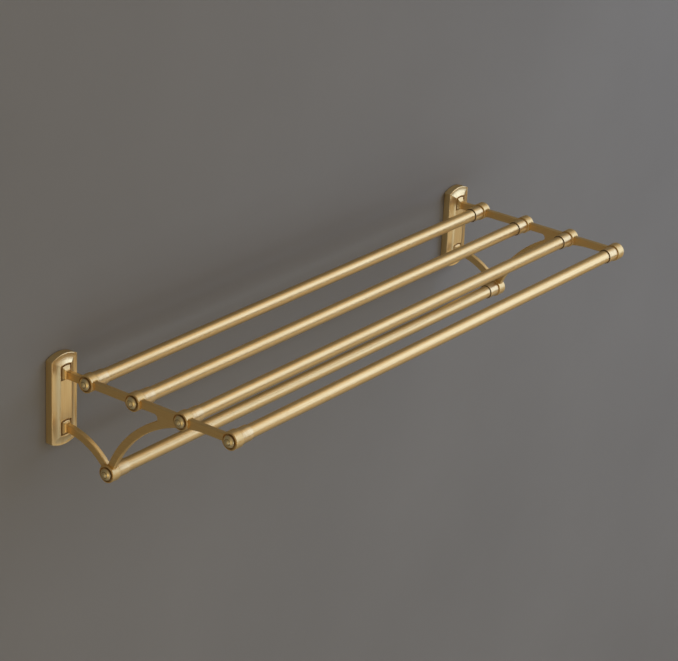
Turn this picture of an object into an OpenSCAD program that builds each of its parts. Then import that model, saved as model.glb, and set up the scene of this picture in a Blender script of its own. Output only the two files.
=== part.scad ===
// Wall-mounted towel rack: a shelf of four tubes over one lower rail, carried by
// two cast side frames whose feet are screwed into arched wall plates.
// X runs along the wall, Y points into the wall and Z is up. The wall is the
// plane y = 0, and the origin is the centre of the four wall-screw holes.

/* [Layout] */
// Distance between the middle planes of the two side frames
frame_pitch = 600; // [300:5:900]
// Distance from the wall to the axis of the first shelf tube
shelf_out = 37; // [32:0.5:60]
// Distance between neighbouring shelf tubes
tube_pitch = 55.5; // [45:0.5:75]
// Height of the shelf tubes above the middle of the wall plates
shelf_rise = 25.5; // [24:0.5:28]
// Distance from the wall to the axis of the lower rail
rail_out = 63; // [45:0.5:90]
// Drop of the lower rail below the middle of the wall plates
rail_drop = 54; // [45:0.5:90]

/* [Tubes] */
// Outside diameter of the shelf tubes and the lower rail
tube_d = 12.7; // [10:0.1:16]
// Wall of the tubes
tube_wall = 1; // [0.8:0.1:1.5]
// Length of the threaded plug in each tube end
plug_len = 12; // [9:0.5:20]

/* [Side frames] */
// Thickness of the cast bars along the wall
bar_t = 5; // [4:0.1:7]
// Height of the cast bars
bar_h = 7.6; // [6:0.1:9]
// Rounding of the long edges of the bars
bar_edge_r = 0.8; // [0.3:0.1:1.2]
// Where the brace runs level into the shelf bar, in pitches past the first tube
brace_root_pitches = 2.5; // [2.35:0.05:2.8]
// Drop of the lower arm's level root below the middle of the wall plates
arm_drop = 26.5; // [25.5:0.1:27.5]
// How far the bars' roots run into their feet
root_bury = 1.3; // [0.5:0.1:2]
// Radius of the open corner between the shelf bar and the brace
web_corner_r = 3.6; // [2:0.1:6]
// Radius of the cast fillets between bars and hubs
hub_fillet_r = 2.5; // [1:0.1:4]

/* [Hubs] */
// Diameter of the hubs that carry the tubes
hub_d = 17; // [15.5:0.1:22]
// Length of a hub along the tube
hub_len = 10; // [9.5:0.1:14]
// Width of the rim round the recess in the hub's outer face
hub_rim = 1.3; // [0.8:0.1:1.6]
// Depth of that recess
cap_recess = 1.6; // [0.8:0.1:2]
// Rounding of the hub's edges
hub_edge_r = 0.6; // [0.3:0.1:0.8]

/* [Collars] */
// Outside diameter of the collar over each tube end
collar_d = 14.6; // [14:0.1:18]
// Length of the collar, from the hub to where the tube comes out
collar_len = 14; // [10:0.5:20]
// Chamfer on the collar's edges
collar_chamfer = 0.4; // [0.1:0.1:0.6]
// Width of the groove between hub and collar
groove_w = 1.2; // [0.8:0.1:2]
// Depth of that groove
groove_depth = 0.8; // [0.4:0.1:1.2]
// Thickness of the collar's floor behind the tube end, with the groove
collar_floor = 3.2; // [2.6:0.1:5]
// Width of the relief round the tube at the collar's mouth
mouth_gap = 0.45; // [0.2:0.05:0.6]
// Depth of that relief
mouth_depth = 1.2; // [0.6:0.1:2]

/* [Caps and tube screws] */
// Thread diameter of the screws that hold the tubes
tube_screw_d = 5; // [4:0.5:6]
// Head diameter of those screws
tube_screw_head_d = 8.5; // [7.5:0.1:9]
// Head height of those screws
tube_screw_head_h = 2.8; // [2:0.1:3]
// Length of those screws under the head
tube_screw_len = 16; // [14:0.5:20]
// Clearance round the screw head, on the radius
counterbore_gap = 0.5; // [0.2:0.1:0.8]
// Hexagon socket across its flats
tube_screw_hex = 3; // [2:0.5:4]
// Depth of the hexagon socket
tube_screw_hex_depth = 1.6; // [1:0.1:1.8]
// Diameter of the cap's flange
cap_flange_d = 10.4; // [10.2:0.1:12]
// Thickness of the cap's flange
cap_flange_h = 2; // [1.2:0.1:2.6]
// Rounding of the flange's shoulder
cap_shoulder_r = 0.8; // [0.3:0.1:0.8]
// Diameter of the button in the middle of the cap
cap_button_d = 5; // [3.6:0.1:6]
// Height of the button above the flange
cap_button_h = 3.8; // [2:0.1:4.5]
// Length of the spigot that plugs the screw's counterbore
cap_spigot_h = 1.6; // [1:0.1:2]

/* [Wall plates] */
// Width of a wall plate
plate_w = 32; // [30:0.5:40]
// Straight height of a wall plate's sides
plate_side_h = 80.5; // [80.5:0.5:110]
// Rise of the arched top and bottom over that height
plate_arch = 4.4; // [2:0.1:8]
// Depth of the plate at its rim
plate_rim_depth = 7.6; // [7.2:0.1:9]
// Width of the flat rim
plate_rim_w = 1.3; // [0.9:0.1:2]
// Step down from the rim to the hollow border
plate_rim_step = 0.35; // [0.1:0.05:0.5]
// Rounding of the rim's outer edge
plate_edge_r = 0.7; // [0.3:0.1:0.9]
// Width of the hollow border, from the outer edge to the flat field
border_w = 9; // [7:0.1:9]
// Height of the flat field above the low side of the border
field_rise = 2.25; // [1.2:0.05:3]
// Wall of the plate round the space behind it
plate_wall = 2; // [1.6:0.1:3]

/* [Feet and pockets] */
// Height of the pocket centres above and below the plate's middle
pocket_rise = 27; // [26:0.1:28]
// Height of a pocket's straight sides
pocket_h = 13.8; // [12.5:0.1:14]
// Width of the strip of field left beside a pocket
pocket_land = 0.4; // [0.2:0.1:1]
// Thickness of the pocket's floor
pocket_floor = 1.8; // [1.4:0.1:2]
// Shadow gap at the sides of a foot
foot_gap_side = 1.8; // [1:0.1:2]
// Shadow gap above and below a foot
foot_gap_end = 0.9; // [0.5:0.1:1]
// Distance over which a foot flares down from the bar to the plate
foot_flare = 3.6; // [2.5:0.1:6]
// Thread diameter of the screws that hold the feet
foot_screw_d = 4; // [3:0.5:4]
// Length of those screws under the head
foot_screw_len = 6.5; // [5:0.5:7]
// Head diameter of those screws
foot_screw_head_d = 7.5; // [6:0.1:8]
// Head height of those screws
foot_screw_head_h = 1.8; // [1.4:0.1:2]
// Hexagon socket of those screws across its flats
foot_screw_hex = 2; // [1.5:0.5:2.5]

/* [Wall brackets] */
// Thickness of the wall bracket's sheet
bracket_t = 2; // [1.5:0.1:2]
// Distance between the two wall-screw holes of a bracket
wall_hole_pitch = 28; // [20:1:34]
// Diameter of the wall-screw holes
wall_hole_d = 4.5; // [3.5:0.1:5.5]
// Thread diameter of the grub screw under each plate
grub_d = 3; // [2.5:0.5:3]
// Length of the grub screw
grub_len = 5; // [4:0.5:5]
// Hexagon socket of the grub screw across its flats
grub_hex = 1.5; // [1.3:0.1:1.5]
// Depth of that socket
grub_hex_depth = 1.6; // [1:0.1:2]

/* [Fits] */
// Clearance between a sliding piece and its bore, on the radius
slide_fit = 0.05; // [0.02:0.01:0.1]
// Clearance of a screw in its through hole, on the radius
screw_fit = 0.2; // [0.1:0.05:0.4]
// Clearance between the wall bracket and the plate round it
bracket_fit = 0.3; // [0.1:0.05:0.5]
// Free height over a screw head
head_gap = 0.2; // [0.1:0.05:0.5]
// Free height between a foot screw's head and the wall bracket
bracket_gap = 0.6; // [0.3:0.1:1]

/* [Hidden] */
$fn = 96;
// Shapes are cut this far past a face
cut = 1;
// Fillets run this far into the faces that they blend
blend_lap = 0.02;
// The hub of the lower rail is number 5, after the four shelf hubs
shelf_tubes = 4;
rail_hub = shelf_tubes + 1;
brass = [0.77, 0.63, 0.38];
pale_brass = [0.86, 0.76, 0.55];
steel = [0.62, 0.63, 0.65];
zinc = [0.72, 0.73, 0.75];

// Places of the hubs in the side plane
function hub_y(n) = n == rail_hub ? -rail_out : -(shelf_out + (n - 1) * tube_pitch);
function hub_z(n) = n == rail_hub ? -rail_drop : shelf_rise;

// Radius of an arc that leaves a point level and ends level_run further out
// and drop lower
function level_arc_r(level_run, drop) = (level_run * level_run + drop * drop) / (2 * drop);

// Plate, from its own sizes
field_depth = plate_rim_depth - plate_rim_step + field_rise;
field_w = plate_w - 2 * border_w;
plate_arch_r = level_arc_r(plate_w / 2, plate_arch);
plate_arch_z = plate_side_h / 2 + plate_arch - plate_arch_r;
cove_w = border_w - plate_rim_w;
cove_r = level_arc_r(cove_w, field_rise);
cavity_depth = bracket_t + bracket_gap + foot_screw_head_h;
cavity_w = plate_w - 2 * plate_wall;
cavity_h = plate_side_h - 2 * plate_wall;
pocket_depth = cavity_depth + pocket_floor;
pocket_w = field_w - 2 * pocket_land;
pocket_arch_r = plate_arch_r - border_w - pocket_land;
foot_w = pocket_w - 2 * foot_gap_side;
foot_h = pocket_h - 2 * foot_gap_end;
foot_neck_out = field_depth + foot_flare;
// Straight pieces along the curve of a foot's flare
flare_steps = 10;

// Side frame, from the hubs
brace_root_out = shelf_out + brace_root_pitches * tube_pitch;
brace_r = level_arc_r(brace_root_out - rail_out, shelf_rise + rail_drop);
brace_z = shelf_rise - brace_r;
brace_end = atan2(-rail_drop - brace_z, brace_root_out - rail_out);
arm_root_out = pocket_depth + root_bury;
arm_r = level_arc_r(rail_out - arm_root_out, rail_drop - arm_drop);
arm_z = -arm_drop - arm_r;
arm_end = atan2(-rail_drop - arm_z, arm_root_out - rail_out);
corner_z = shelf_rise - bar_h / 2 - web_corner_r;
corner_reach = brace_r + bar_h / 2 + web_corner_r;
corner_y = -brace_root_out + sqrt(corner_reach * corner_reach - pow(corner_z - brace_z, 2));
corner_angle = atan2(corner_z - brace_z, corner_y + brace_root_out);

// Stations along a tube's axis, outward from the middle of the frame
hub_face = hub_len / 2;
cap_seat = hub_face - cap_recess;
head_seat = cap_seat - cap_spigot_h - head_gap - tube_screw_head_h;
tube_end = -hub_face - collar_floor;
collar_mouth = -hub_face - collar_len;
counterbore_d = tube_screw_head_d + 2 * counterbore_gap;
tube_half = frame_pitch / 2 + tube_end;

// Puts a turned piece on a hub's axis, with its local Z pointing outward
module at_hub(side, n) {
    translate([side * frame_pitch / 2, hub_y(n), hub_z(n)])
        rotate([0, side * 90, 0])
            children();
}

// Turns a drawing of the side plane upright: its x is Y and its y is Z
module side_plane(side) {
    translate([side * frame_pitch / 2, 0, 0])
        rotate([90, 0, 90])
            children();
}

// Puts a piece drawn outward from the wall, local Z, at a height on the plate
module on_plate(side, z) {
    translate([side * frame_pitch / 2, 0, z])
        rotate([90, 0, 0])
            children();
}

// Hexagon socket, by the distance across its flats
module hex_socket(flats, depth) {
    cylinder(r = flats / sqrt(3), h = depth, $fn = 6);
}

module rounded_rect(w, h, r) {
    square([w - 2 * r, h], center = true);
    square([w, h - 2 * r], center = true);
    for (sx = [-1, 1], sy = [-1, 1])
        translate([sx * (w / 2 - r), sy * (h / 2 - r)])
            circle(r);
}

// Section of the bars: x points up at a level bar and outward on an arc
module bar_section() {
    rounded_rect(bar_h, bar_t, bar_edge_r);
}

// Upper or lower half of that section, with a lap over the middle
module half_section(up) {
    intersection() {
        bar_section();
        translate([up > 0 ? -bar_edge_r : -bar_h, -bar_t])
            square([bar_h + bar_edge_r, 2 * bar_t]);
    }
}

// Level bar in the side plane, with its section drawn by the child
module level_bar(from, to, z) {
    translate([from, z, 0])
        rotate([90, 0, 90])
            linear_extrude(to - from)
                children();
}

// One arc of bar about a centre in the side plane, with its section drawn by the child
module arc_bar(y, z, r, from, to) {
    translate([y, z, 0])
        rotate([0, 0, from])
            rotate_extrude(angle = to - from)
                translate([r, 0])
                    children();
}

// Shelf bar and brace. Where they run into each other, between the brace's level
// root and the web's corner, each has only its outer half and the web fills the rest.
module shelf_bar_and_brace() {
    wall_end = -pocket_depth - root_bury;
    level_bar(hub_y(shelf_tubes), wall_end, shelf_rise)
        half_section(1);
    level_bar(hub_y(shelf_tubes), -brace_root_out, shelf_rise)
        half_section(-1);
    level_bar(corner_y, wall_end, shelf_rise)
        half_section(-1);
    arc_bar(-brace_root_out, brace_z, brace_r, brace_end, 90)
        half_section(-1);
    arc_bar(-brace_root_out, brace_z, brace_r, brace_end, corner_angle)
        half_section(1);
}

// Fills the corner between a level bar and a hub, on one side and above or below
module hub_fillet(n, toward_wall, up) {
    lift = bar_h / 2 + hub_fillet_r - blend_lap;
    reach = hub_d / 2 + hub_fillet_r - blend_lap;
    run = sqrt(reach * reach - lift * lift);
    translate([hub_y(n), hub_z(n)])
        difference() {
            polygon([[0, 0], [toward_wall * run, 0], [toward_wall * run, up * lift]]);
            translate([toward_wall * run, up * lift])
                circle(hub_fillet_r);
        }
}

module hub_fillets() {
    linear_extrude(bar_t, center = true) {
        for (n = [1, 2], wall = [-1, 1], up = [-1, 1])
            hub_fillet(n, wall, up);
        for (wall = [-1, 1])
            hub_fillet(3, wall, 1);
        for (up = [-1, 1])
            hub_fillet(shelf_tubes, 1, up);
    }
}

// Solid web between the shelf bar and the brace, with its rounded open corner
module web() {
    linear_extrude(bar_t, center = true)
        difference() {
            polygon([[-brace_root_out, brace_z], [-brace_root_out, shelf_rise + bar_edge_r],
                     [corner_y, shelf_rise + bar_edge_r], [corner_y, corner_z]]);
            translate([-brace_root_out, brace_z])
                circle(brace_r, $fn = 360);
            translate([corner_y, corner_z])
                circle(web_corner_r + bar_edge_r);
        }
    translate([corner_y, corner_z, 0])
        rotate([0, 0, 90])
            rotate_extrude(angle = corner_angle + 90)
                intersection() {
                    translate([web_corner_r + bar_h / 2, 0])
                        bar_section();
                    translate([0, -bar_t])
                        square([web_corner_r + 2 * bar_edge_r, 2 * bar_t]);
                }
}

module hub_blank() {
    rotate_extrude()
        difference() {
            translate([0, -hub_face])
                square([hub_d / 2, hub_len]);
            for (end = [-1, 1])
                translate([hub_d / 2 - hub_edge_r, end * (hub_face - hub_edge_r)])
                    difference() {
                        translate([0, end < 0 ? -cut : 0])
                            square([cut, cut]);
                        circle(hub_edge_r);
                    }
        }
}

module hub_bores() {
    translate([0, 0, cap_seat])
        cylinder(d = hub_d - 2 * hub_rim, h = cap_recess + cut);
    translate([0, 0, head_seat])
        cylinder(d = counterbore_d, h = hub_len);
    translate([0, 0, -hub_face - cut])
        cylinder(d = tube_screw_d + 2 * screw_fit, h = hub_len + 2 * cut);
}

// Half widths of a flare at a share t of its height: wide at the plate, and
// running smoothly into the bar
function flare(foot, neck, t) = neck + (foot - neck) * (1 - t) * (1 - t);

// Foot standing in its pocket: a block with an arched top that flares in to
// the bar. bar_z is the bar's height and foot_z the pocket's centre.
module foot(bar_z, foot_z) {
    ts = [for (i = [0 : flare_steps]) i / flare_steps];
    top = foot_z + foot_h / 2 + foot_crown();
    bottom = foot_z - foot_h / 2;
    intersection() {
        // Plan, cut to the foot's width
        translate([0, 0, bottom - cut])
            linear_extrude(foot_h + foot_crown() + 2 * cut)
                polygon(concat(
                    [[foot_w / 2, -pocket_depth]],
                    [for (t = ts) [flare(foot_w / 2, bar_t / 2, t), -field_depth - t * foot_flare]],
                    [for (t = ts) [-flare(foot_w / 2, bar_t / 2, 1 - t),
                                   -field_depth - (1 - t) * foot_flare]],
                    [[-foot_w / 2, -pocket_depth]]));
        // Side view, from the foot's height to the bar's
        rotate([90, 0, 90])
            linear_extrude(foot_w + 2 * cut, center = true)
                polygon(concat(
                    [[-pocket_depth, top]],
                    [for (t = ts) [-field_depth - t * foot_flare,
                                   flare(top, bar_z + bar_h / 2, t)]],
                    [for (t = ts) [-field_depth - (1 - t) * foot_flare,
                                   flare(bottom, bar_z - bar_h / 2, 1 - t)]],
                    [[-pocket_depth, bottom]]));
        // Front view, with the arched top
        rotate([90, 0, 0])
            linear_extrude(foot_neck_out + cut)
                arched_block(foot_w, foot_h, foot_z, pocket_arch_r - foot_gap_end);
    }
}

// Height of an arch over a width
function crown(w, r) = r - sqrt(r * r - w * w / 4);
function foot_crown() = crown(foot_w, pocket_arch_r - foot_gap_end);

// Rectangle with an arched top, for pockets and feet
module arched_block(w, h, z, r) {
    translate([-w / 2, z - h / 2])
        square([w, h]);
    intersection() {
        translate([-w / 2, z])
            square([w, h]);
        translate([0, z + h / 2 + crown(w, r) - r])
            circle(r);
    }
}

module side_frame(side) {
    color(brass)
        difference() {
            union() {
                side_plane(side) {
                    shelf_bar_and_brace();
                    web();
                    arc_bar(-arm_root_out, arm_z, arm_r, 90, arm_end)
                        bar_section();
                    hub_fillets();
                }
                translate([side * frame_pitch / 2, 0, 0]) {
                    foot(shelf_rise, pocket_rise);
                    foot(-arm_drop, -pocket_rise);
                }
                for (n = [1 : rail_hub])
                    at_hub(side, n)
                        hub_blank();
            }
            for (n = [1 : rail_hub])
                at_hub(side, n)
                    hub_bores();
            for (z = [-pocket_rise, pocket_rise])
                on_plate(side, z)
                    translate([0, 0, pocket_depth - cut])
                        cylinder(d = foot_screw_d + 2 * slide_fit,
                                 h = foot_screw_len - pocket_floor + 2 * cut);
        }
}

// Half of the plate's section: x from its middle to the outer edge, y outward
module plate_section(outer) {
    rim_start = outer - plate_rim_w;
    difference() {
        square([rim_start, field_depth]);
        translate([rim_start, plate_rim_depth - plate_rim_step + cove_r])
            circle(cove_r, $fn = 240);
    }
    translate([rim_start - plate_wall / 2, 0])
        square([plate_wall / 2 + plate_rim_w - plate_edge_r, plate_rim_depth - plate_rim_step]);
    translate([rim_start, 0])
        square([plate_rim_w - plate_edge_r, plate_rim_depth]);
    translate([rim_start, 0])
        square([plate_rim_w, plate_rim_depth - plate_edge_r]);
    translate([outer - plate_edge_r, plate_rim_depth - plate_edge_r])
        circle(plate_edge_r);
}

// Straight run of the plate between two heights
module plate_run(from, to) {
    translate([0, 0, from])
        mirror([0, 1, 0])
            linear_extrude(to - from)
                for (m = [0, 1])
                    mirror([m, 0])
                        plate_section(plate_w / 2);
}

// Arched end of the plate, cut from a disc about the arch's centre
module plate_end(up) {
    reach = plate_arch_r + cut;
    intersection() {
        plate_run(up > 0 ? plate_arch_z : -plate_arch_z - reach,
                  up > 0 ? plate_arch_z + reach : -plate_arch_z);
        translate([0, 0, up * plate_arch_z])
            rotate([90, 0, 0])
                rotate_extrude($fn = 240)
                    plate_section(plate_arch_r);
    }
}

module wall_plate(side) {
    color(brass)
        difference() {
            translate([side * frame_pitch / 2, 0, 0]) {
                plate_run(-plate_arch_z, plate_arch_z);
                plate_end(1);
                plate_end(-1);
            }
            translate([side * frame_pitch / 2 - cavity_w / 2, -cavity_depth, -cavity_h / 2])
                cube([cavity_w, cavity_depth + cut, cavity_h]);
            for (z = [-pocket_rise, pocket_rise])
                on_plate(side, 0) {
                    translate([0, 0, pocket_depth])
                        linear_extrude(field_depth)
                            arched_block(pocket_w, pocket_h, z, pocket_arch_r);
                    translate([0, z, 0])
                        cylinder(d = foot_screw_d + 2 * screw_fit, h = pocket_depth + cut);
                }
            translate([side * frame_pitch / 2, -grub_depth(), -plate_side_h / 2 - plate_arch - cut])
                cylinder(d = grub_d + 2 * slide_fit, h = plate_arch + plate_wall + 2 * cut);
        }
}

function grub_depth() = (bracket_t + cavity_depth) / 2;

// Pressed bracket that the plate drops over, with a lip at its top and bottom
module wall_bracket(side) {
    w = cavity_w - 2 * bracket_fit;
    h = cavity_h - 2 * bracket_fit;
    lip_depth = cavity_depth - bracket_fit;
    color(zinc)
        difference() {
            translate([side * frame_pitch / 2 - w / 2, 0, 0]) {
                translate([0, -bracket_t, -h / 2])
                    cube([w, bracket_t, h]);
                for (z = [-h / 2, h / 2 - bracket_t])
                    translate([0, -lip_depth, z])
                        cube([w, lip_depth, bracket_t]);
            }
            for (z = [-wall_hole_pitch / 2, wall_hole_pitch / 2])
                on_plate(side, z)
                    translate([0, 0, -cut])
                        cylinder(d = wall_hole_d, h = bracket_t + 2 * cut);
        }
}

module foot_screws(side) {
    color(steel)
        for (z = [-pocket_rise, pocket_rise])
            on_plate(side, z) {
                translate([0, 0, cavity_depth - foot_screw_head_h])
                    difference() {
                        cylinder(d = foot_screw_head_d, h = foot_screw_head_h);
                        translate([0, 0, -cut])
                            hex_socket(foot_screw_hex, foot_screw_head_h / 2 + cut);
                    }
                translate([0, 0, cavity_depth])
                    cylinder(d = foot_screw_d, h = foot_screw_len);
            }
}

module grub_screw(side) {
    seat = -(cavity_h / 2 - bracket_fit);
    color(steel)
        translate([side * frame_pitch / 2, -grub_depth(), seat - grub_len])
            difference() {
                cylinder(d = grub_d, h = grub_len);
                translate([0, 0, -cut])
                    hex_socket(grub_hex, grub_hex_depth + cut);
            }
}

module tube(n) {
    color(pale_brass)
        translate([-tube_half, hub_y(n), hub_z(n)])
            rotate([0, 90, 0])
                difference() {
                    cylinder(d = tube_d, h = 2 * tube_half);
                    translate([0, 0, -cut])
                        cylinder(d = tube_d - 2 * tube_wall, h = 2 * tube_half + 2 * cut);
                }
}

// Turned collar: a neck against the hub, then a cup that takes the tube end
module collar(side, n) {
    r = collar_d / 2;
    neck_r = r - groove_depth;
    bore_r = tube_d / 2 + slide_fit;
    mouth_r = tube_d / 2 + mouth_gap;
    hole_r = tube_screw_d / 2 + screw_fit;
    body = -hub_face - groove_w;
    color(brass)
        at_hub(side, n)
            rotate_extrude()
                polygon([
                    [hole_r, -hub_face], [neck_r, -hub_face], [neck_r, body],
                    [r - collar_chamfer, body], [r, body - collar_chamfer],
                    [r, collar_mouth + collar_chamfer / 2], [r - collar_chamfer / 2, collar_mouth],
                    [mouth_r, collar_mouth], [mouth_r, collar_mouth + mouth_depth],
                    [bore_r, collar_mouth + mouth_depth], [bore_r, tube_end], [hole_r, tube_end]]);
}

// Threaded plug brazed into a tube end
module tube_plug(side, n) {
    color(steel)
        at_hub(side, n)
            translate([0, 0, tube_end - plug_len])
                difference() {
                    cylinder(r = tube_d / 2 - tube_wall - slide_fit, h = plug_len);
                    translate([0, 0, -cut])
                        cylinder(d = tube_screw_d + 2 * slide_fit, h = plug_len + 2 * cut);
                }
}

module tube_screws(side) {
    color(steel)
        for (n = [1 : rail_hub])
            at_hub(side, n) {
                translate([0, 0, head_seat - tube_screw_len])
                    cylinder(d = tube_screw_d, h = tube_screw_len);
                translate([0, 0, head_seat])
                    difference() {
                        cylinder(d = tube_screw_head_d, h = tube_screw_head_h);
                        translate([0, 0, tube_screw_head_h - tube_screw_hex_depth])
                            hex_socket(tube_screw_hex, tube_screw_head_h);
                    }
            }
}

// Domed cap over the screw: spigot, flange with a rounded shoulder, and button
module end_cap(side, n) {
    flange_r = cap_flange_d / 2;
    button_r = cap_button_d / 2;
    dome_r = level_arc_r(button_r, cap_button_h);
    color(pale_brass)
        at_hub(side, n)
            translate([0, 0, cap_seat])
                rotate_extrude() {
                    translate([0, -cap_spigot_h])
                        square([counterbore_d / 2 - slide_fit, cap_spigot_h]);
                    square([flange_r, cap_flange_h - cap_shoulder_r]);
                    square([flange_r - cap_shoulder_r, cap_flange_h]);
                    translate([flange_r - cap_shoulder_r, cap_flange_h - cap_shoulder_r])
                        circle(cap_shoulder_r);
                    intersection() {
                        translate([0, cap_flange_h + cap_button_h - dome_r])
                            circle(dome_r);
                        square([button_r, cap_flange_h + cap_button_h]);
                    }
                }
}

side_frame(-1);  // side_frame_left
side_frame(1);  // side_frame_right
wall_plate(-1);  // wall_plate_left
wall_plate(1);  // wall_plate_right
wall_bracket(-1);  // wall_bracket_left
wall_bracket(1);  // wall_bracket_right
foot_screws(-1);  // foot_screws_left
foot_screws(1);  // foot_screws_right
grub_screw(-1);  // grub_screw_left
grub_screw(1);  // grub_screw_right
tube(1);  // shelf_tube_1
tube(2);  // shelf_tube_2
tube(3);  // shelf_tube_3
tube(4);  // shelf_tube_4
tube(rail_hub);  // lower_rail
collar(-1, 1);  // collar_left_1
collar(-1, 2);  // collar_left_2
collar(-1, 3);  // collar_left_3
collar(-1, 4);  // collar_left_4
collar(-1, rail_hub);  // collar_left_5
collar(1, 1);  // collar_right_1
collar(1, 2);  // collar_right_2
collar(1, 3);  // collar_right_3
collar(1, 4);  // collar_right_4
collar(1, rail_hub);  // collar_right_5
tube_plug(-1, 1);  // tube_plug_left_1
tube_plug(-1, 2);  // tube_plug_left_2
tube_plug(-1, 3);  // tube_plug_left_3
tube_plug(-1, 4);  // tube_plug_left_4
tube_plug(-1, rail_hub);  // tube_plug_left_5
tube_plug(1, 1);  // tube_plug_right_1
tube_plug(1, 2);  // tube_plug_right_2
tube_plug(1, 3);  // tube_plug_right_3
tube_plug(1, 4);  // tube_plug_right_4
tube_plug(1, rail_hub);  // tube_plug_right_5
end_cap(-1, 1);  // end_cap_left_1
end_cap(-1, 2);  // end_cap_left_2
end_cap(-1, 3);  // end_cap_left_3
end_cap(-1, 4);  // end_cap_left_4
end_cap(-1, rail_hub);  // end_cap_left_5
end_cap(1, 1);  // end_cap_right_1
end_cap(1, 2);  // end_cap_right_2
end_cap(1, 3);  // end_cap_right_3
end_cap(1, 4);  // end_cap_right_4
end_cap(1, rail_hub);  // end_cap_right_5
tube_screws(-1);  // tube_screws_left
tube_screws(1);  // tube_screws_right
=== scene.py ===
"""Wall-mounted brass towel rack: turned trim, finishes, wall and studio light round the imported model."""

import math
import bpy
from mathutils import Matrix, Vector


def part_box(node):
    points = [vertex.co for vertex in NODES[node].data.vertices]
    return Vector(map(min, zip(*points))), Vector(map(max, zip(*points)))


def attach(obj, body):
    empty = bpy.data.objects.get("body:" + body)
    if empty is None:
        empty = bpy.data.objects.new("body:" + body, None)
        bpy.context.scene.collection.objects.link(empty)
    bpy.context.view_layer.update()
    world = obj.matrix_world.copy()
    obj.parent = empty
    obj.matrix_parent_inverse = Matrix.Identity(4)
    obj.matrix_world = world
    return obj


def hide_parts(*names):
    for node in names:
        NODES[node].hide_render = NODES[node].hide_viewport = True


bl_info = {
    "name": "Brass Towel Rack",
    "version": (1, 0, 0),
    "blender": (4, 5, 0),
    "location": "View3D > Sidebar > Towel Rack",
    "description": "Dresses the towel rack's CAD frame with turned trim, satin brass and a plain studio",
    "category": "Object",
}

import bmesh
import bpy
from mathutils import Euler, Vector

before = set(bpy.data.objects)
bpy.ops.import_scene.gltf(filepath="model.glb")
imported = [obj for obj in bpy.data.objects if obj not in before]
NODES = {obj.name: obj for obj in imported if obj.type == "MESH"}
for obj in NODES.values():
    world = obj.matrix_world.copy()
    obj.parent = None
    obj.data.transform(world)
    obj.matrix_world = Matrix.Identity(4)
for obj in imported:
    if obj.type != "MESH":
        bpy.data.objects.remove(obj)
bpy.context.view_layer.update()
BODY = "root"
MM = 0.001
SIDES = ("left", "right")
HUBS = range(1, 6)

# Radius of the ring that the lathe runs profiles round
LATHE_RING = 1 * MM
# Points of a turned piece that lie closer than this are one
MERGE_DISTANCE = 0.002 * MM
# Edges of a turned piece that turn by more than this stay crisp
CRISP_ANGLE = math.radians(35)

# How far the brushing lines change a metal's roughness, up and down
SHINE_SPREAD = 0.04
# Height of the brushing lines
BRUSH_HEIGHT = 0.05 * MM
# Roughness of the dark brass that stands for tarnish and painted shade
TARNISH_AND_SHADE_ROUGHNESS = 0.65
COAT_ROUGHNESS = 0.3

# Metres to either side of the middle, and the heights of the floor and of the wall's top
WALL_REACH, FLOOR_REACH = 4, 6
FLOOR_Z, WALL_TOP_Z = -1.2, 2.4
# Gap between the plates' backs and the wall
WALL_GAP = 0.6 * MM

# Name, place, point that it faces, width, height, power setting and colour of each soft lamp
LAMPS = (
    ("key_softbox", (1.75, -1.5, 0.95), (0, -0.1, 0), 3.6, 3.2, "key_power", "ECF2FF"),
    ("key_core", (1.61, -1.31, 0.6), (0, -0.1, 0), 1.5, 1.9, "core_power", "A6C6FF"),
    ("low_fill", (1.2, -1.5, -0.85), (0, -0.1, 0), 2, 0.5, "fill_power", "FFE8C4"),
    ("top_light", (1.3, -0.4, 1.75), (0.1, -0.1, 0), 1.8, 0.9, "top_power", "FFE0B0"),
    ("side_fill", (-1.9, -0.45, -0.45), (-0.3, -0.1, 0), 0.6, 0.9, "side_power", "FFDCA4"),
    ("front_fill", (-0.3, -2.1, -0.45), (0, -0.1, 0), 1.4, 0.6, "front_power", "D8E8FF"),
)

# The photograph's viewpoint, and its turn in degrees
CAMERA_PLACE = (-1.75099, -1.40627, 0.94383)
CAMERA_TURN = (66.60795, -2.51111, -51.8392)


def linear(hex_colour):
    """An sRGB hex colour as the linear RGBA that Blender's sockets take."""
    channels = [int(hex_colour[i:i + 2], 16) / 255 for i in (0, 2, 4)]
    return [c / 12.92 if c <= 0.04045 else ((c + 0.055) / 1.055) ** 2.4 for c in channels] + [1.0]


def add_node(tree, kind, inputs=None, **settings):
    """Adds a node to a tree. An input's value is a plain value, or an output socket to link."""
    node = tree.nodes.new(kind)
    for name, value in settings.items():
        setattr(node, name, value)
    for name, value in (inputs or {}).items():
        if isinstance(value, bpy.types.NodeSocket):
            tree.links.new(value, node.inputs[name])
        else:
            node.inputs[name].default_value = value
    return node


def colour_property(name, description, hex_colour):
    return bpy.props.FloatVectorProperty(name=name, description=description, subtype="COLOR",
                                         size=4, min=0, max=1, default=linear(hex_colour))


def length_property(name, description, millimetres):
    return bpy.props.FloatProperty(name=name, description=description, subtype="DISTANCE",
                                   unit="LENGTH", min=0, default=millimetres * MM)


def share_property(name, description, share):
    return bpy.props.FloatProperty(name=name, description=description, subtype="FACTOR",
                                   min=0, max=1, default=share)


def power_property(name, description, watts):
    return bpy.props.FloatProperty(name=name, description=description, subtype="POWER",
                                   unit="POWER", min=0, default=watts)


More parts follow.
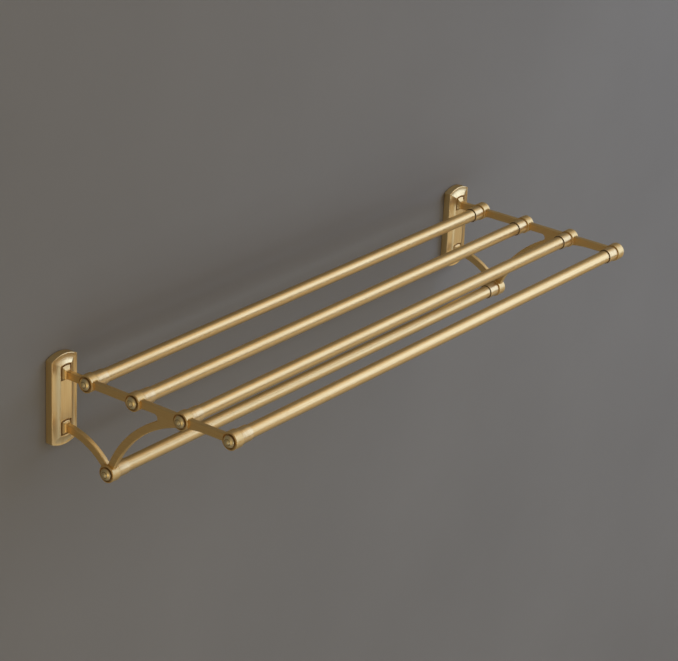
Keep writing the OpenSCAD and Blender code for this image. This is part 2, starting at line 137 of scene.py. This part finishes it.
class RackFinish(bpy.types.PropertyGroup):
    """Colours and grain of the brass and steel."""
    tube_light: colour_property("Tube brass, light", "Lighter tone of the drawn tubes", "F4D69A")
    tube_deep: colour_property("Tube brass, deep", "Deeper tone of the drawn tubes", "ECC886")
    cap_light: colour_property("Cap brass, light", "Lighter tone of the end caps", "F0E4B8")
    cap_deep: colour_property("Cap brass, deep", "Deeper tone of the end caps", "E8D4A0")
    collar_light: colour_property("Collar brass, light", "Lighter tone of the collars", "F2D8A2")
    collar_deep: colour_property("Collar brass, deep", "Deeper tone of the collars", "E6C488")
    plate_light: colour_property("Plate brass, light", "Lighter tone of the wall plates", "F8E0A8")
    plate_deep: colour_property("Plate brass, deep", "Deeper tone of the wall plates", "EECE90")
    cast_light: colour_property("Cast brass, light", "Lighter tone of the side frames", "F1D597")
    cast_deep: colour_property("Cast brass, deep", "Deeper tone of the side frames", "E7C381")
    brass_glance: colour_property("Brass at a glance", "Tone of brass seen along its surface", "E6C894")
    # Dark brass for tarnish, and for painted shade in the hubs' recesses, round the caps, on the collars'
    # mouths and where the tubes go in
    tarnish_and_shade: colour_property("Patina", "Darkened brass that stays in grooves", "6E4A20")
    steel: colour_property("Plain steel", "Colour of the machine screws and plugs", "9A9A9C")
    zinc: colour_property("Zinc plating", "Colour of the plated wall brackets", "B9BDC2")
    lacquer: share_property("Lacquer", "How much clear lacquer lies over the brass", 0.25)
    haze: share_property("Lacquer haze", "How milky the lacquer is, as a share of dull brass tone", 0.1)
    # How strongly that tarnish and painted shade darkens the brass
    tarnish_and_shade_amount: share_property("Patina amount", "How far the grooves have darkened", 0.8)
    grain_width: length_property("Grain width", "Width of one brushing line", 0.35)
    grain_length: length_property("Grain length", "Length of one brushing line", 60)
    plate_grain: length_property("Plate grain width", "Width of one soft streak on the plates", 1.6)


class RackTrim(bpy.types.PropertyGroup):
    """Sizes of the turned pieces on the hubs."""
    hub_half: length_property("Hub half length", "From the hub's middle to its face", 5)
    cap_recess: length_property("Cap recess", "Depth of the recess that holds a cap", 1.6)
    recess_r: length_property("Recess radius", "Radius of the recess that holds a cap", 7.2)
    cap_flange_r: length_property("Cap flange radius", "Radius of the cap's flange", 5.7)
    cap_flange_h: length_property("Cap flange height", "Thickness of the cap's flange", 2.8)
    cap_crown: length_property("Cap crown", "Rise of the flange towards the button", 1.3)
    cap_button_r: length_property("Cap button radius", "Radius of the cap's button", 2.6)
    cap_button_h: length_property("Cap button height", "Height of the button over the flange", 3)
    cap_spigot_r: length_property("Cap spigot radius", "Radius of the spigot behind the cap", 4.7)
    cap_spigot_h: length_property("Cap spigot length", "Length of the spigot behind the cap", 1.6)
    collar_r: length_property("Collar radius", "Outside radius of a collar", 7.3)
    collar_length: length_property("Collar length", "From the hub to the collar's mouth", 14)
    collar_floor: length_property("Collar floor", "Thickness between hub and tube end", 3.2)
    groove_width: length_property("Groove width", "Width of the groove next to the hub", 0.9)
    groove_depth: length_property("Groove depth", "Depth of that groove", 0.25)
    mouth_gap: length_property("Mouth gap", "Relief round the tube at the mouth", 0.35)
    mouth_depth: length_property("Mouth depth", "Depth of that relief", 2)
    tube_r: length_property("Tube radius", "Outside radius of the tubes", 6.35)
    slide_fit: length_property("Sliding fit", "Clearance round the tube in its collar", 0.05)
    screw_hole_r: length_property("Screw hole radius", "Hole in the collar's floor", 2.7)
    edge_r: length_property("Edge rounding", "Small rounding on turned edges", 0.3)
    segments: bpy.props.IntProperty(
        name="Segments", description="Steps round a turned piece", min=24, max=128, default=72)


class RackStudio(bpy.types.PropertyGroup):
    """Wall, floor, lamps and camera."""
    wall: colour_property("Wall", "Colour of the plain wall", "969289")
    floor: colour_property("Floor", "Colour of the plain floor", "D0CFCB")
    backdrop: colour_property("Backdrop", "Pale tone that the camera sees round the rack", "D6D4CF")
    air: colour_property("Studio air", "Colour of the light from all round", "F2DEBC")
    air_strength: bpy.props.FloatProperty(
        name="Air strength", description="Strength of the light from all round", min=0, default=0.3)
    key_power: power_property("Key power", "Power of the big soft lamp on the right", 14)
    core_power: power_property("Core power", "Power of the smaller lamp in the middle of the key", 15)
    fill_power: power_property("Fill power", "Power of the low soft lamp on the right", 1.6)
    side_power: power_property("Side power", "Power of the soft lamp on the left", 3)
    top_power: power_property("Top power", "Power of the soft lamp above the rack", 2.2)
    front_power: power_property("Front power", "Power of the low soft lamp in front of the rack", 5)
    lens: bpy.props.FloatProperty(
        name="Lens", description="Focal length on a 36 mm wide frame", subtype="DISTANCE_CAMERA",
        unit="CAMERA", min=1, default=131.754)


def finish_of():
    return bpy.context.scene.rack_finish


def new_material(name):
    """A material with an empty node tree, the tree, and its socket of object coordinates."""
    material = bpy.data.materials.new(name)
    material.use_nodes = True
    tree = material.node_tree
    tree.nodes.clear()
    return material, tree, add_node(tree, "ShaderNodeTexCoord").outputs["Object"]


def colour_mix(tree, factor, low, high):
    """Blends two colours. Either may be a plain colour or a socket."""
    # A colour mix has its colours on sockets 6 and 7, and its result on 2
    return add_node(tree, "ShaderNodeMix", {0: factor, 6: low, 7: high}, data_type="RGBA").outputs[2]


def from_noise(tree, noise, low, high):
    """Stretches the middle of a noise, where most of it lies, to run from low to high."""
    return add_node(tree, "ShaderNodeMapRange", {
        "Value": noise, "From Min": 0.3, "From Max": 0.7, "To Min": low, "To Max": high}).outputs["Result"]


def band(tree, value, start, end, soft):
    """1 where a value lies between start and end, fading out over soft."""
    middle, half = (start + end) / 2, (end - start) / 2
    off = add_node(tree, "ShaderNodeMath", {0: value, 1: middle}, operation="SUBTRACT").outputs[0]
    away = add_node(tree, "ShaderNodeMath", {0: off}, operation="ABSOLUTE").outputs[0]
    return add_node(tree, "ShaderNodeMapRange", {
        "Value": away, "From Min": half, "From Max": half + soft, "To Min": 1.0, "To Max": 0.0},
        interpolation_type="SMOOTHSTEP").outputs["Result"]


def combined(tree, operation, *masks):
    """Folds masks together with one Math operation, such as MULTIPLY or MAXIMUM."""
    result = masks[0]
    for mask in masks[1:]:
        result = add_node(tree, "ShaderNodeMath", {0: result, 1: mask}, operation=operation).outputs[0]
    return result


def hub_distance(tree, place):
    """Distance to the nearest hub's axis."""
    flat = add_node(tree, "ShaderNodeVectorMath", {0: place, 1: (0, 1, 1)}, operation="MULTIPLY")
    distances = []
    for n in HUBS:
        low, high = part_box(f"end_cap_left_{n}")
        axis = (0, (low.y + high.y) / 2, (low.z + high.z) / 2)
        distances.append(add_node(tree, "ShaderNodeVectorMath", {0: flat.outputs["Vector"], 1: axis},
                                  operation="DISTANCE").outputs["Value"])
    return combined(tree, "MINIMUM", *distances)


def out_from_middle(tree, place):
    """Distance to either side of the rack's middle."""
    across = add_node(tree, "ShaderNodeSeparateXYZ", {0: place}).outputs["X"]
    return add_node(tree, "ShaderNodeMath", {0: across}, operation="ABSOLUTE").outputs[0]


def metal(name, light, deep, glance, grain, roughness, relief, coat=0.0, haze=0.0, tarnish_and_shade_mask=None):
    """A worked metal. grain is lines per metre on each axis, and the last argument, given (tree, place),
    masks the dark brass that stands for tarnish and painted shade.
    """
    material, tree, place = new_material(name)
    stretched = add_node(tree, "ShaderNodeMapping", {"Vector": place, "Scale": grain}).outputs["Vector"]
    lines = add_node(tree, "ShaderNodeTexNoise", {
        "Vector": stretched, "Scale": 1.0, "Detail": 3.0, "Roughness": 0.6}).outputs["Fac"]
    colour = colour_mix(tree, from_noise(tree, lines, 0.0, 1.0), deep, light)
    shine = from_noise(tree, lines, roughness + SHINE_SPREAD, roughness - SHINE_SPREAD)
    # Tarnish and painted shade: the mask darkens the tone to dark brass and roughens it
    if tarnish_and_shade_mask:
        mask = combined(tree, "MULTIPLY", tarnish_and_shade_mask(tree, place), finish_of().tarnish_and_shade_amount)
        colour = colour_mix(tree, mask, colour, finish_of().tarnish_and_shade)
        shine = add_node(tree, "ShaderNodeMapRange", {
            "Value": mask, "To Min": shine, "To Max": TARNISH_AND_SHADE_ROUGHNESS}).outputs["Result"]
    bump = add_node(tree, "ShaderNodeBump", {
        "Height": lines, "Strength": relief, "Distance": BRUSH_HEIGHT}).outputs["Normal"]
    shader = add_node(tree, "ShaderNodeBsdfPrincipled", {
        "Base Color": colour, "Metallic": 1.0 - haze, "Roughness": shine, "Normal": bump,
        "Specular Tint": glance, "Coat Weight": coat, "Coat Roughness": COAT_ROUGHNESS})
    add_node(tree, "ShaderNodeOutputMaterial", {"Surface": shader.outputs["BSDF"]})
    return material


def brass(name, kind, grain, roughness, relief, tarnish_and_shade_mask=None):
    """Satin brass under clear lacquer. kind is tube, cap, collar, plate or cast."""
    finish = finish_of()
    return metal(name, getattr(finish, kind + "_light"), getattr(finish, kind + "_deep"),
                 finish.brass_glance, grain, roughness, relief, finish.lacquer, finish.haze, tarnish_and_shade_mask)


def grain_scale(along, width=None):
    """Lines per metre on each axis, for grain that runs along one of them."""
    finish = finish_of()
    width = width or finish.grain_width
    return [1 / (finish.grain_length if axis == along else width) for axis in "XYZ"]


def lathe_grain():
    """Lines per metre on each axis, for the fine rings that a lathe leaves round a hub's axis."""
    return [1 / finish_of().grain_width, 60, 60]


def even_grain(lines):
    """The same number of lines per metre on every axis."""
    return [lines] * 3


def dimmed(colour, share):
    """A colour at a share of its strength."""
    return [channel * share for channel in colour[:3]] + [1]


def dress(names, material):
    """Gives CAD nodes their material. Their shapes stay."""
    for name in names:
        slots = NODES[name].data.materials
        slots.clear()
        slots.append(material)


def each(stem, ends):
    return [f"{stem}_{end}" for end in ends]


def hub_ends():
    return [f"{side}_{n}" for side in SIDES for n in HUBS]


def rounded(corners):
    """A profile's points from (radius, height, rounding) corners, with an arc at each rounded one."""
    points = []
    for i, (r, h, rounding) in enumerate(corners):
        here = Vector((r, h))
        if not rounding or i in (0, len(corners) - 1):
            points.append(here)
            continue
        before = (Vector(corners[i - 1][:2]) - here).normalized()
        after = (Vector(corners[i + 1][:2]) - here).normalized()
        half = before.angle(after) / 2
        run = rounding / math.tan(half)
        centre = here + (before + after).normalized() * (rounding / math.sin(half))
        start, end = here + before * run - centre, here + after * run - centre
        for step in range(7):
            points.append(centre + rounding * start.slerp(end, step / 6, start))
    return points


def profile_curve(name, points):
    """The profile as a flat curve, drawn about the lathe's ring."""
    curve = bpy.data.curves.new(name, "CURVE")
    spline = curve.splines.new("POLY")
    spline.points.add(len(points) - 1)
    for point, (r, h) in zip(spline.points, points):
        point.co = (r - LATHE_RING, -h, 0, 1)
    holder = bpy.data.objects.new(name, curve)
    bpy.context.scene.collection.objects.link(holder)
    return holder


def lathe_tree():
    """Geometry Nodes: turns a profile on a ring and sets one copy at each point of the mesh."""
    tree = bpy.data.node_groups.new("Turned pieces on the hubs", "GeometryNodeTree")
    tree.is_modifier = True
    for label, kind in (("Hub points", "Geometry"), ("Profile", "Object"), ("Ring radius", "Float"),
                        ("Segments", "Int"), ("Metal", "Material")):
        tree.interface.new_socket(name=label, in_out="INPUT", socket_type="NodeSocket" + kind)
    tree.interface.new_socket(name="Turned pieces", in_out="OUTPUT", socket_type="NodeSocketGeometry")
    given = add_node(tree, "NodeGroupInput").outputs
    ring = add_node(tree, "GeometryNodeCurvePrimitiveCircle", {
        "Resolution": given["Segments"], "Radius": given["Ring radius"]}).outputs["Curve"]
    # Z-up normals point the profile's x outward all the way round
    upright = add_node(tree, "GeometryNodeSetCurveNormal", {"Curve": ring}, mode="Z_UP").outputs["Curve"]
    drawn = add_node(tree, "GeometryNodeObjectInfo", {"Object": given["Profile"]}).outputs["Geometry"]
    turned = add_node(tree, "GeometryNodeCurveToMesh", {
        "Curve": upright, "Profile Curve": drawn}).outputs["Mesh"]
    closed = add_node(tree, "GeometryNodeMergeByDistance", {
        "Geometry": turned, "Distance": MERGE_DISTANCE}).outputs["Geometry"]
    smooth = add_node(tree, "GeometryNodeSetShadeSmooth", {"Geometry": closed}).outputs["Geometry"]
    turn = add_node(tree, "GeometryNodeInputNamedAttribute", {"Name": "turn"}, data_type="FLOAT_VECTOR")
    facing = add_node(tree, "FunctionNodeEulerToRotation", {"Euler": turn.outputs["Attribute"]})
    copies = add_node(tree, "GeometryNodeInstanceOnPoints", {
        "Points": given["Hub points"], "Instance": smooth,
        "Rotation": facing.outputs["Rotation"]}).outputs["Instances"]
    real = add_node(tree, "GeometryNodeRealizeInstances", {"Geometry": copies}).outputs["Geometry"]
    finished = add_node(tree, "GeometryNodeSetMaterial", {
        "Geometry": real, "Material": given["Metal"]}).outputs["Geometry"]
    add_node(tree, "NodeGroupOutput", {"Turned pieces": finished})
    return tree


def hub_points(stem):
    """A mesh with one point at the middle of each hub and the turn that faces it outward."""
    places, turns = [], []
    trim = bpy.context.scene.rack_trim
    is_cap = stem == "end_cap"
    # From the hub's middle to a cap's outer end, or back to a collar's mouth
    out = (trim.hub_half - trim.cap_recess + trim.cap_flange_h + trim.cap_button_h if is_cap
           else -trim.hub_half - trim.collar_length)
    for side, sign in (("left", -1), ("right", 1)):
        for n in HUBS:
            low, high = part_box(f"{stem}_{side}_{n}")
            end_x = high.x if (sign > 0) == is_cap else low.x
            places.append((end_x - sign * out, (low.y + high.y) / 2, (low.z + high.z) / 2))
            turns.append((0, sign * math.pi / 2, 0))
    mesh = bpy.data.meshes.new(stem + "_places")
    mesh.from_pydata(places, [], [])
    stored = mesh.attributes.new("turn", "FLOAT_VECTOR", "POINT")
    stored.data.foreach_set("vector", [value for turn in turns for value in turn])
    return mesh


def turned_piece(name, stem, corners, material):
    """Turns one profile on all ten hubs, as a plain mesh that stands for its CAD nodes."""
    trim = bpy.context.scene.rack_trim
    profile = profile_curve(name + "_profile", rounded(corners))
    piece = bpy.data.objects.new(name, hub_points(stem))
    bpy.context.scene.collection.objects.link(piece)
    lathe = piece.modifiers.new("Lathe", "NODES")
    lathe.node_group = lathe_tree()
    sockets = {s.name: s.identifier for s in lathe.node_group.interface.items_tree if s.in_out == "INPUT"}
    for label, value in (("Profile", profile), ("Ring radius", LATHE_RING),
                         ("Segments", trim.segments), ("Metal", material)):
        lathe[sockets[label]] = value
    graph = bpy.context.evaluated_depsgraph_get()
    mesh = bpy.data.meshes.new_from_object(piece.evaluated_get(graph))
    shape = bmesh.new()
    shape.from_mesh(mesh)
    bmesh.ops.recalc_face_normals(shape, faces=shape.faces)
    for edge in shape.edges:
        edge.smooth = edge.calc_face_angle(0) < CRISP_ANGLE
    shape.to_mesh(mesh)
    shape.free()
    piece.modifiers.remove(lathe)
    piece.data = mesh
    bpy.data.objects.remove(profile)
    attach(piece, BODY)
    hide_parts(*each(stem, hub_ends()))
    return piece


def hub_recess_tarnish_and_shade(tree, place):
    # Tarnish and painted shade inside the recess round a cap
    trim = bpy.context.scene.rack_trim
    inside = band(tree, hub_distance(tree, place), 0, trim.recess_r, 0.1 * MM)
    return combined(tree, "MULTIPLY", inside, 0.35)


def tube_entry_painted_shadow(tree, place):
    # Painted contact shadow: a thin dark line where the tube goes into the collar's mouth
    trim = bpy.context.scene.rack_trim
    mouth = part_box("collar_right_1")[0].x
    out = out_from_middle(tree, place)
    return band(tree, out, mouth - 0.4 * MM, mouth + trim.mouth_depth, 0.2 * MM)


def collar_mouth_shade_and_tarnish(tree, place):
    # Painted shade on the end face at the mouth, and tarnish with painted shade in the relief inside it
    trim = bpy.context.scene.rack_trim
    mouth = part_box("collar_right_1")[0].x
    end = band(tree, out_from_middle(tree, place), mouth, mouth + trim.mouth_depth, 0.1 * MM)
    inside = band(tree, hub_distance(tree, place), 0, trim.collar_r - 0.2 * MM, 0.15 * MM)
    return combined(tree, "MULTIPLY", end, inside)


def cap_tarnish_and_shade(tree, place):
    # Tarnish and painted shade down the flange's side in the hub's recess, and round the button's foot
    trim = bpy.context.scene.rack_trim
    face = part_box("collar_right_1")[1].x + 2 * trim.hub_half
    out, reach = out_from_middle(tree, place), hub_distance(tree, place)
    seat = face - trim.cap_recess
    side = band(tree, out, seat, seat + trim.cap_flange_h * 0.55, 0.4 * MM)
    rim = band(tree, reach, trim.cap_flange_r - 0.1 * MM, trim.cap_flange_r + 1 * MM, 0.1 * MM)
    foot = band(tree, reach, trim.cap_button_r + 0.3 * MM, trim.cap_button_r + 0.4 * MM, 0.2 * MM)
    return combined(tree, "MAXIMUM", combined(tree, "MULTIPLY", side, rim, 0.6), foot)


class RACK_OT_cast_brass(bpy.types.Operator):
    """Finishes the side frames and the wall plates"""
    bl_idname = "rack.cast_brass"
    bl_label = "Cast Side Frames and Plates"

    def execute(self, context):
        # Cast brass, linished along the bars: a soft sheen with faint lines, and tarnish with painted
        # shade in the hubs' recesses
        dress(each("side_frame", SIDES), brass(
            "Linished cast brass", "cast", grain_scale("Y"), roughness=0.43, relief=0.3,
            tarnish_and_shade_mask=hub_recess_tarnish_and_shade))
        # The plates are brushed up and down, as the photographed lines run
        dress(each("wall_plate", SIDES), brass(
            "Brushed cast brass plate", "plate", grain_scale("Z", finish_of().plate_grain),
            roughness=0.33, relief=0.4))
        return {"FINISHED"}


class RACK_OT_tubes(bpy.types.Operator):
    """Finishes the shelf tubes and the lower rail"""
    bl_idname = "rack.tubes"
    bl_label = "Tubes"

    def execute(self, context):
        # Drawn brass tube, brushed lengthwise: the light smears into a band across the tube, with a
        # painted contact shadow where it enters the collars
        dress(["shelf_tube_1", "shelf_tube_2", "shelf_tube_3", "shelf_tube_4", "lower_rail"], brass(
            "Brushed brass tube", "tube", grain_scale("X"), roughness=0.38, relief=0.25,
            tarnish_and_shade_mask=tube_entry_painted_shadow))
        return {"FINISHED"}


class RACK_OT_end_caps(bpy.types.Operator):
    """Turns the ten domed caps in the hubs' outer faces"""
    bl_idname = "rack.end_caps"
    bl_label = "End Caps"

    def execute(self, context):
        trim = context.scene.rack_trim
        seat = trim.hub_half - trim.cap_recess
        top = seat + trim.cap_flange_h
        crown = top + trim.cap_crown
        button = top + trim.cap_button_h
        flange_r, button_r = trim.cap_flange_r, trim.cap_button_r
        # Where the flange's rise ends, and where the button's side turns into its dome
        crown_r = button_r + (flange_r - button_r) * 0.35
        shoulder = button - button_r * 0.45
        corners = [
            (0, seat - trim.cap_spigot_h, 0),
            (trim.cap_spigot_r, seat - trim.cap_spigot_h, trim.edge_r),
            (trim.cap_spigot_r, seat, 0),
            (flange_r, seat, 0.2 * MM),
            (flange_r, top, 1 * MM),
            (crown_r, crown, 1.4 * MM),
            (button_r, crown, 0.25 * MM),
            (button_r, shoulder, 1.4 * MM),
            (button_r * 0.55, button, 1.2 * MM),
            (0, button, 0),
        ]
        # Turned brass, with tarnish and painted shade in the recess and round the button's foot
        turned = brass("Turned brass caps", "cap", lathe_grain(), roughness=0.34, relief=0.3,
                       tarnish_and_shade_mask=cap_tarnish_and_shade)
        turned_piece("domed_end_caps", "end_cap", corners, turned)
        return {"FINISHED"}


class RACK_OT_collars(bpy.types.Operator):
    """Turns the ten collars that hold the tube ends"""
    bl_idname = "rack.collars"
    bl_label = "Collars"

    def execute(self, context):
        trim = context.scene.rack_trim
        face = -trim.hub_half
        mouth = face - trim.collar_length
        body = face - trim.groove_width
        neck_r = trim.collar_r - trim.groove_depth
        bore_r = trim.tube_r + trim.slide_fit
        mouth_r = trim.tube_r + trim.mouth_gap
        tube_end = face - trim.collar_floor
        corners = [
            (trim.screw_hole_r, face, 0),
            (neck_r, face, 0),
            (neck_r, body + trim.groove_width / 2, 0.2 * MM),
            (trim.collar_r, body, 0.3 * MM),
            (trim.collar_r, mouth, 0.45 * MM),
            (mouth_r, mouth, 0.1 * MM),
            (mouth_r, mouth + trim.mouth_depth, 0),
            (bore_r, mouth + trim.mouth_depth, 0),
            (bore_r, tube_end, 0),
            (trim.screw_hole_r, tube_end, 0),
            (trim.screw_hole_r, face, 0),
        ]
        # Turned brass, with painted shade on the mouth's end face and tarnish with painted shade in its
        # relief
        turned = brass("Turned brass collars", "collar", lathe_grain(), roughness=0.36, relief=0.3,
                       tarnish_and_shade_mask=collar_mouth_shade_and_tarnish)
        turned_piece("stepped_collars", "collar", corners, turned)
        return {"FINISHED"}


class RACK_OT_fixings(bpy.types.Operator):
    """Finishes the brackets, screws and plugs that don't show"""
    bl_idname = "rack.fixings"
    bl_label = "Brackets and Screws"

    def execute(self, context):
        finish = finish_of()
        # Zinc-plated sheet: pale, slightly blue and evenly dull
        plated = metal("Zinc-plated sheet steel", finish.zinc, dimmed(finish.zinc, 0.9), finish.zinc,
                       even_grain(900), roughness=0.42, relief=0.2)
        dress(each("wall_bracket", SIDES), plated)
        # Machined steel: greyer and a little smoother
        machined = metal("Machined steel", finish.steel, dimmed(finish.steel, 0.85), finish.steel,
                         even_grain(1500), roughness=0.35, relief=0.2)
        for stem in ("foot_screws", "grub_screw", "tube_screws"):
            dress(each(stem, SIDES), machined)
        dress(each("tube_plug", hub_ends()), machined)
        return {"FINISHED"}


def plain_surface(name, colour, shown=None):
    """A matt, faintly mottled surface with a clear back. The camera can be shown another tone."""
    material, tree, place = new_material(name)
    mottle = add_node(tree, "ShaderNodeTexNoise", {
        "Vector": place, "Scale": 3.0, "Detail": 6.0}).outputs["Fac"]
    shade = add_node(tree, "ShaderNodeVectorMath", {
        0: colour[:3], "Scale": from_noise(tree, mottle, 0.96, 1.04)}, operation="SCALE")
    surface = add_node(tree, "ShaderNodeBsdfDiffuse", {"Color": shade.outputs["Vector"]}).outputs["BSDF"]
    if shown is not None:
        seen = add_node(tree, "ShaderNodeLightPath").outputs["Is Camera Ray"]
        pale = add_node(tree, "ShaderNodeEmission", {"Color": shown}).outputs["Emission"]
        surface = add_node(tree, "ShaderNodeMixShader", {0: seen, 1: surface, 2: pale}).outputs["Shader"]
    back = add_node(tree, "ShaderNodeNewGeometry").outputs["Backfacing"]
    clear = add_node(tree, "ShaderNodeBsdfTransparent").outputs["BSDF"]
    surface = add_node(tree, "ShaderNodeMixShader", {0: back, 1: surface, 2: clear}).outputs["Shader"]
    add_node(tree, "ShaderNodeOutputMaterial", {"Surface": surface})
    return material


def stage_sheet(name, corners, material, faces=((0, 1, 2, 3),)):
    mesh = bpy.data.meshes.new(name)
    mesh.from_pydata(corners, [], faces)
    mesh.materials.append(material)
    sheet = bpy.data.objects.new(name, mesh)
    bpy.context.scene.collection.objects.link(sheet)


def soft_lamp(name, place, aim, width, height, power, colour):
    lamp = bpy.data.lights.new(name, "AREA")
    lamp.shape = "RECTANGLE"
    lamp.size, lamp.size_y = width, height
    lamp.energy = power
    lamp.color = linear(colour)[:3]
    holder = bpy.data.objects.new(name, lamp)
    bpy.context.scene.collection.objects.link(holder)
    holder.location = place
    holder.visible_camera = False
    holder.rotation_euler = (Vector(aim) - Vector(place)).to_track_quat("-Z", "Y").to_euler()


class RACK_OT_stage(bpy.types.Operator):
    """Sets up the wall, the floor, the lamps and the camera"""
    bl_idname = "rack.stage"
    bl_label = "Studio"

    def execute(self, context):
        studio = context.scene.rack_studio
        wall = plain_surface("Painted plaster wall", studio.wall)
        # The wall is open behind the plates, so that their backs are lit in views from behind. The
        # openings stop short of the plates' sides and of their arched ends
        left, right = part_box("wall_plate_left"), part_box("wall_plate_right")
        inset, arch = 1.4 * MM, 5.8 * MM
        across = [-WALL_REACH, left[0].x + inset, left[1].x - inset, right[0].x + inset,
                  right[1].x - inset, WALL_REACH]
        up = [FLOOR_Z, left[0].z + arch, left[1].z - arch, WALL_TOP_Z]
        grid = [(x, WALL_GAP, z) for z in up for x in across]
        row_step = len(across)
        cells = []
        for row in range(len(up) - 1):
            for column in range(row_step - 1):
                if row != 1 or column not in (1, 3):
                    first = row * row_step + column
                    cells.append((first, first + 1, first + row_step + 1, first + row_step))
        stage_sheet("studio_wall", grid, wall, cells)
        floor = plain_surface("Plain floor", studio.floor, studio.backdrop)
        stage_sheet("studio_floor", [(x * FLOOR_REACH, y * FLOOR_REACH, FLOOR_Z)
                                     for x, y in ((-1, -1), (1, -1), (1, 1), (-1, 1))], floor)

        world = bpy.data.worlds.new("Soft studio air")
        context.scene.world = world
        world.use_nodes = True
        tree = world.node_tree
        tree.nodes.clear()
        # The brass reflects the dim warm air, and the camera sees the pale backdrop
        seen = add_node(tree, "ShaderNodeLightPath").outputs["Is Camera Ray"]
        strength = add_node(tree, "ShaderNodeMapRange", {
            "Value": seen, "To Min": studio.air_strength, "To Max": 1.0}).outputs["Result"]
        air = add_node(tree, "ShaderNodeBackground", {
            "Color": colour_mix(tree, seen, studio.air, studio.backdrop), "Strength": strength})
        add_node(tree, "ShaderNodeOutputWorld", {"Surface": air.outputs["Background"]})

        for name, place, aim, width, height, power, colour in LAMPS:
            soft_lamp(name, place, aim, width, height, getattr(studio, power), colour)

        camera = bpy.data.cameras.new("photo_camera")
        camera.lens = studio.lens
        camera.sensor_width = 36
        camera.clip_start, camera.clip_end = 0.05, 50
        holder = bpy.data.objects.new("photo_camera", camera)
        holder.location = CAMERA_PLACE
        holder.rotation_euler = Euler([math.radians(angle) for angle in CAMERA_TURN])
        context.scene.collection.objects.link(holder)
        context.scene.camera = holder
        context.scene.view_settings.view_transform = "Standard"
        return {"FINISHED"}


class RACK_PT_panel(bpy.types.Panel):
    """Lists the rack's pieces and their settings"""
    bl_idname = "RACK_PT_panel"
    bl_label = "Towel Rack"
    bl_space_type = "VIEW_3D"
    bl_region_type = "UI"
    bl_category = "Towel Rack"

    def draw(self, context):
        for operator in PIECES:
            self.layout.operator(operator.bl_idname)
        for group in (context.scene.rack_finish, context.scene.rack_trim, context.scene.rack_studio):
            column = self.layout.column(align=True)
            for name in group.bl_rna.properties.keys():
                if name not in ("rna_type", "name"):
                    column.prop(group, name)


PIECES = (RACK_OT_cast_brass, RACK_OT_tubes, RACK_OT_end_caps, RACK_OT_collars, RACK_OT_fixings,
          RACK_OT_stage)
CLASSES = (RackFinish, RackTrim, RackStudio, *PIECES, RACK_PT_panel)


def register():
    for cls in CLASSES:
        bpy.utils.register_class(cls)
    bpy.types.Scene.rack_finish = bpy.props.PointerProperty(type=RackFinish)
    bpy.types.Scene.rack_trim = bpy.props.PointerProperty(type=RackTrim)
    bpy.types.Scene.rack_studio = bpy.props.PointerProperty(type=RackStudio)


def unregister():
    del bpy.types.Scene.rack_studio
    del bpy.types.Scene.rack_trim
    del bpy.types.Scene.rack_finish
    for cls in reversed(CLASSES):
        bpy.utils.unregister_class(cls)


def main():
    register()
    bpy.ops.rack.cast_brass()
    bpy.ops.rack.tubes()
    bpy.ops.rack.end_caps()
    bpy.ops.rack.collars()
    bpy.ops.rack.fixings()
    bpy.ops.rack.stage()


if __name__ == "__main__":
    main()
